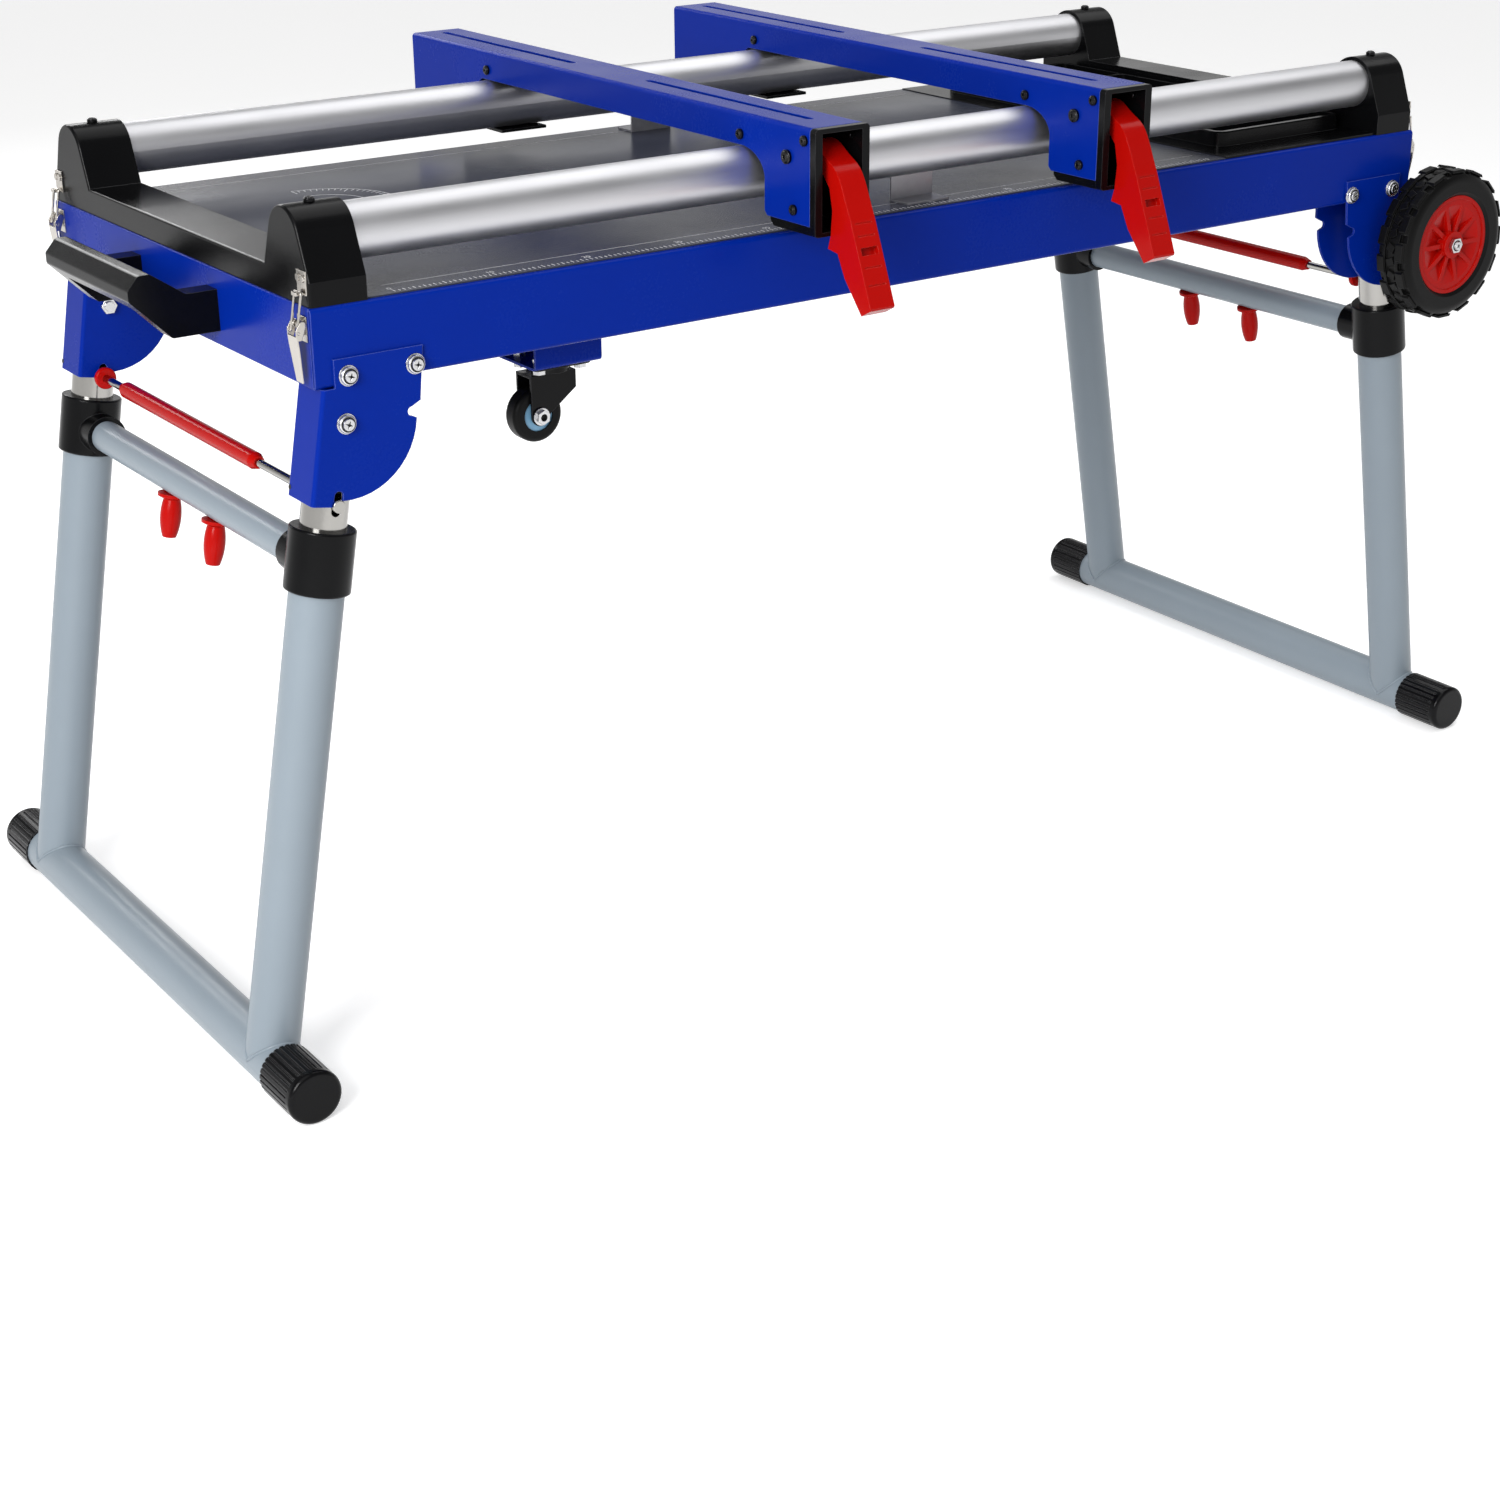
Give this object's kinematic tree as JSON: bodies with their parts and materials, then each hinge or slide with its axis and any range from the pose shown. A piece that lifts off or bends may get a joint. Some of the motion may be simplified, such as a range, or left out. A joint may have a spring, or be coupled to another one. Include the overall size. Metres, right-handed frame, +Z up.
{
  "type": "miter saw stand",
  "caption": "Folding miter saw stand: a steel table on two folding, height-adjustable legs, with clamped saw mounts that slide on rails, a tool tray, transport wheels and casters.",
  "frame": {"origin": "on the floor, under the middle of the table", "axes": "+X along the table towards the transport wheels, +Y away from the operator, +Z up"},
  "size_m": [1.5896, 0.8099, 0.8338],
  "materials": {
    "blue_paint": "gloss powder coat",
    "deck_paint": "satin powder coat",
    "black_plastic": "fine grain",
    "satin_aluminium": "satin anodised",
    "chrome": "bright plated",
    "grey_paint": "satin",
    "foot_rubber": "matte",
    "red_plastic": "gloss",
    "zinc": "bright zinc",
    "black_screw": "black oxide",
    "black_tyre": "matte",
    "black_steel": "gloss black",
    "pale_blue_plastic": "gloss"
  },
  "bodies": {
    "table": {"front_apron": "blue_paint", "back_apron": "blue_paint", "left_end_panel": "blue_paint", "right_end_panel": "blue_paint", "deck_panel": "deck_paint", "tool_tray": "black_plastic", "left_end_bridge": "black_plastic", "right_end_bridge": "black_plastic", "front_rail": "satin_aluminium", "back_rail": "satin_aluminium", "rail_rests": "zinc", "pull_handle": "black_plastic", "leg_brackets": "blue_paint", "caster_mounts": "blue_paint", "table_bolts": "zinc", "rail_screws": "black_screw", "latch_plates": "zinc", "caster_plates": "black_steel"},
    "right_leg_upper": {"right_inner_tubes": "chrome"},
    "right_leg_lower": {"right_leg_frame": "grey_paint", "right_leg_collars": "black_plastic", "right_foot_caps": "foot_rubber"},
    "right_release": {"right_release_rod": "chrome", "right_release_grip": "red_plastic"},
    "right_front_knob": {"right_front_pull_knob": "red_plastic"},
    "right_back_knob": {"right_back_pull_knob": "red_plastic"},
    "right_mount": {"right_mount_bar": "blue_paint", "right_mount_blocks": "black_plastic", "right_mount_screws": "black_screw"},
    "right_clamp": {"right_clamp_lever": "red_plastic"},
    "right_front_latch": {"right_front_latch_lever": "zinc"},
    "right_front_bail": {"right_front_latch_bail": "zinc"},
    "right_back_latch": {"right_back_latch_lever": "zinc"},
    "right_back_bail": {"right_back_latch_bail": "zinc"},
    "left_leg_upper": {"left_inner_tubes": "chrome"},
    "left_leg_lower": {"left_leg_frame": "grey_paint", "left_leg_collars": "black_plastic", "left_foot_caps": "foot_rubber"},
    "left_release": {"left_release_rod": "chrome", "left_release_grip": "red_plastic"},
    "left_front_knob": {"left_front_pull_knob": "red_plastic"},
    "left_back_knob": {"left_back_pull_knob": "red_plastic"},
    "left_mount": {"left_mount_bar": "blue_paint", "left_mount_blocks": "black_plastic", "left_mount_screws": "black_screw"},
    "left_clamp": {"left_clamp_lever": "red_plastic"},
    "left_front_latch": {"left_front_latch_lever": "zinc"},
    "left_front_bail": {"left_front_latch_bail": "zinc"},
    "left_back_latch": {"left_back_latch_lever": "zinc"},
    "left_back_bail": {"left_back_latch_bail": "zinc"},
    "front_wheel": {"front_wheel_tyre": "black_tyre", "front_wheel_rim": "red_plastic"},
    "front_caster": {"front_caster_fork": "black_steel"},
    "front_caster_wheel": {"front_caster_tyre": "black_tyre", "front_caster_core": "pale_blue_plastic"},
    "back_wheel": {"back_wheel_tyre": "black_tyre", "back_wheel_rim": "red_plastic"},
    "back_caster": {"back_caster_fork": "black_steel"},
    "back_caster_wheel": {"back_caster_tyre": "black_tyre", "back_caster_core": "pale_blue_plastic"}
  },
  "joints": [
    {"name": "right_leg_fold", "type": "hinge", "parent": "table", "child": "right_leg_upper", "pos_m": [0.657, 0, 0.62482], "axis": [0, -1, 0], "range_deg": [-100.5, 0]},
    {"name": "right_leg_height", "type": "slide", "parent": "right_leg_upper", "child": "right_leg_lower", "axis": [0.1822, 0, -0.9833], "range_m": [0, 0.13]},
    {"name": "right_release_slide", "type": "slide", "parent": "right_leg_upper", "child": "right_release", "axis": [0.1822, 0, -0.9833], "range_m": [-0.0088, 0.006], "stiffness_N_per_m": 900, "springref_m": -0.0088},
    {"name": "right_front_lock_pull", "type": "slide", "parent": "right_leg_lower", "child": "right_front_knob", "axis": [0, 1, 0], "range_m": [-0.009, 0.007], "stiffness_N_per_m": 500, "springref_m": -0.009},
    {"name": "right_back_lock_pull", "type": "slide", "parent": "right_leg_lower", "child": "right_back_knob", "axis": [0, -1, 0], "range_m": [-0.009, 0.007], "stiffness_N_per_m": 500, "springref_m": -0.009},
    {"name": "right_mount_slide", "type": "slide", "parent": "table", "child": "right_mount", "axis": [1, 0, 0], "range_m": [-0.117, 0.417]},
    {"name": "right_clamp_hinge", "type": "hinge", "parent": "right_mount", "child": "right_clamp", "pos_m": [0.176, -0.308, 0.80382], "axis": [1, 0, 0], "range_deg": [-25, 0]},
    {"name": "right_front_latch_hinge", "type": "hinge", "parent": "table", "child": "right_front_latch", "pos_m": [0.687, -0.266, 0.71282], "axis": [0, -1, 0], "range_deg": [0, 115]},
    {"name": "right_front_bail_hinge", "type": "hinge", "parent": "right_front_latch", "child": "right_front_bail", "pos_m": [0.691, -0.266, 0.70682], "axis": [0, -1, 0], "range_deg": [-115, 0]},
    {"name": "right_back_latch_hinge", "type": "hinge", "parent": "table", "child": "right_back_latch", "pos_m": [0.687, 0.266, 0.71282], "axis": [0, -1, 0], "range_deg": [0, 115]},
    {"name": "right_back_bail_hinge", "type": "hinge", "parent": "right_back_latch", "child": "right_back_bail", "pos_m": [0.691, 0.266, 0.70682], "axis": [0, -1, 0], "range_deg": [-115, 0]},
    {"name": "left_leg_fold", "type": "hinge", "parent": "table", "child": "left_leg_upper", "pos_m": [-0.657, 0, 0.62482], "axis": [0, 1, 0], "range_deg": [-100.5, 0]},
    {"name": "left_leg_height", "type": "slide", "parent": "left_leg_upper", "child": "left_leg_lower", "axis": [-0.1822, 0, -0.9833], "range_m": [0, 0.13]},
    {"name": "left_release_slide", "type": "slide", "parent": "left_leg_upper", "child": "left_release", "axis": [-0.1822, 0, -0.9833], "range_m": [-0.0088, 0.006], "stiffness_N_per_m": 900, "springref_m": -0.0088},
    {"name": "left_front_lock_pull", "type": "slide", "parent": "left_leg_lower", "child": "left_front_knob", "axis": [0, 1, 0], "range_m": [-0.009, 0.007], "stiffness_N_per_m": 500, "springref_m": -0.009},
    {"name": "left_back_lock_pull", "type": "slide", "parent": "left_leg_lower", "child": "left_back_knob", "axis": [0, -1, 0], "range_m": [-0.009, 0.007], "stiffness_N_per_m": 500, "springref_m": -0.009},
    {"name": "left_mount_slide", "type": "slide", "parent": "table", "child": "left_mount", "axis": [1, 0, 0], "range_m": [-0.417, 0.117]},
    {"name": "left_clamp_hinge", "type": "hinge", "parent": "left_mount", "child": "left_clamp", "pos_m": [-0.176, -0.308, 0.80382], "axis": [1, 0, 0], "range_deg": [-25, 0]},
    {"name": "left_front_latch_hinge", "type": "hinge", "parent": "table", "child": "left_front_latch", "pos_m": [-0.687, -0.266, 0.71282], "axis": [0, 1, 0], "range_deg": [0, 115]},
    {"name": "left_front_bail_hinge", "type": "hinge", "parent": "left_front_latch", "child": "left_front_bail", "pos_m": [-0.691, -0.266, 0.70682], "axis": [0, 1, 0], "range_deg": [-115, 0]},
    {"name": "left_back_latch_hinge", "type": "hinge", "parent": "table", "child": "left_back_latch", "pos_m": [-0.687, 0.266, 0.71282], "axis": [0, 1, 0], "range_deg": [0, 115]},
    {"name": "left_back_bail_hinge", "type": "hinge", "parent": "left_back_latch", "child": "left_back_bail", "pos_m": [-0.691, 0.266, 0.70682], "axis": [0, 1, 0], "range_deg": [-115, 0]},
    {"name": "front_wheel_spin", "type": "hinge", "parent": "table", "child": "front_wheel", "pos_m": [0.7, -0.318, 0.60582], "axis": [0, 1, 0], "continuous": true},
    {"name": "front_caster_swivel", "type": "hinge", "parent": "table", "child": "front_caster", "pos_m": [-0.385, -0.17, 0.61082], "axis": [0, 0, 1], "continuous": true},
    {"name": "front_caster_spin", "type": "hinge", "parent": "front_caster", "child": "front_caster_wheel", "pos_m": [-0.405, -0.17, 0.56382], "axis": [0, 1, 0], "continuous": true},
    {"name": "back_wheel_spin", "type": "hinge", "parent": "table", "child": "back_wheel", "pos_m": [0.7, 0.318, 0.60582], "axis": [0, 1, 0], "continuous": true},
    {"name": "back_caster_swivel", "type": "hinge", "parent": "table", "child": "back_caster", "pos_m": [-0.385, 0.17, 0.61082], "axis": [0, 0, 1], "continuous": true},
    {"name": "back_caster_spin", "type": "hinge", "parent": "back_caster", "child": "back_caster_wheel", "pos_m": [-0.405, 0.17, 0.56382], "axis": [0, 1, 0], "continuous": true}
  ],
  "couplings": [
    {"joint": "right_front_bail_hinge", "follows": "right_front_latch_hinge", "ratio": -1},
    {"joint": "right_back_bail_hinge", "follows": "right_back_latch_hinge", "ratio": -1},
    {"joint": "left_front_bail_hinge", "follows": "left_front_latch_hinge", "ratio": -1},
    {"joint": "left_back_bail_hinge", "follows": "left_back_latch_hinge", "ratio": -1}
  ]
}
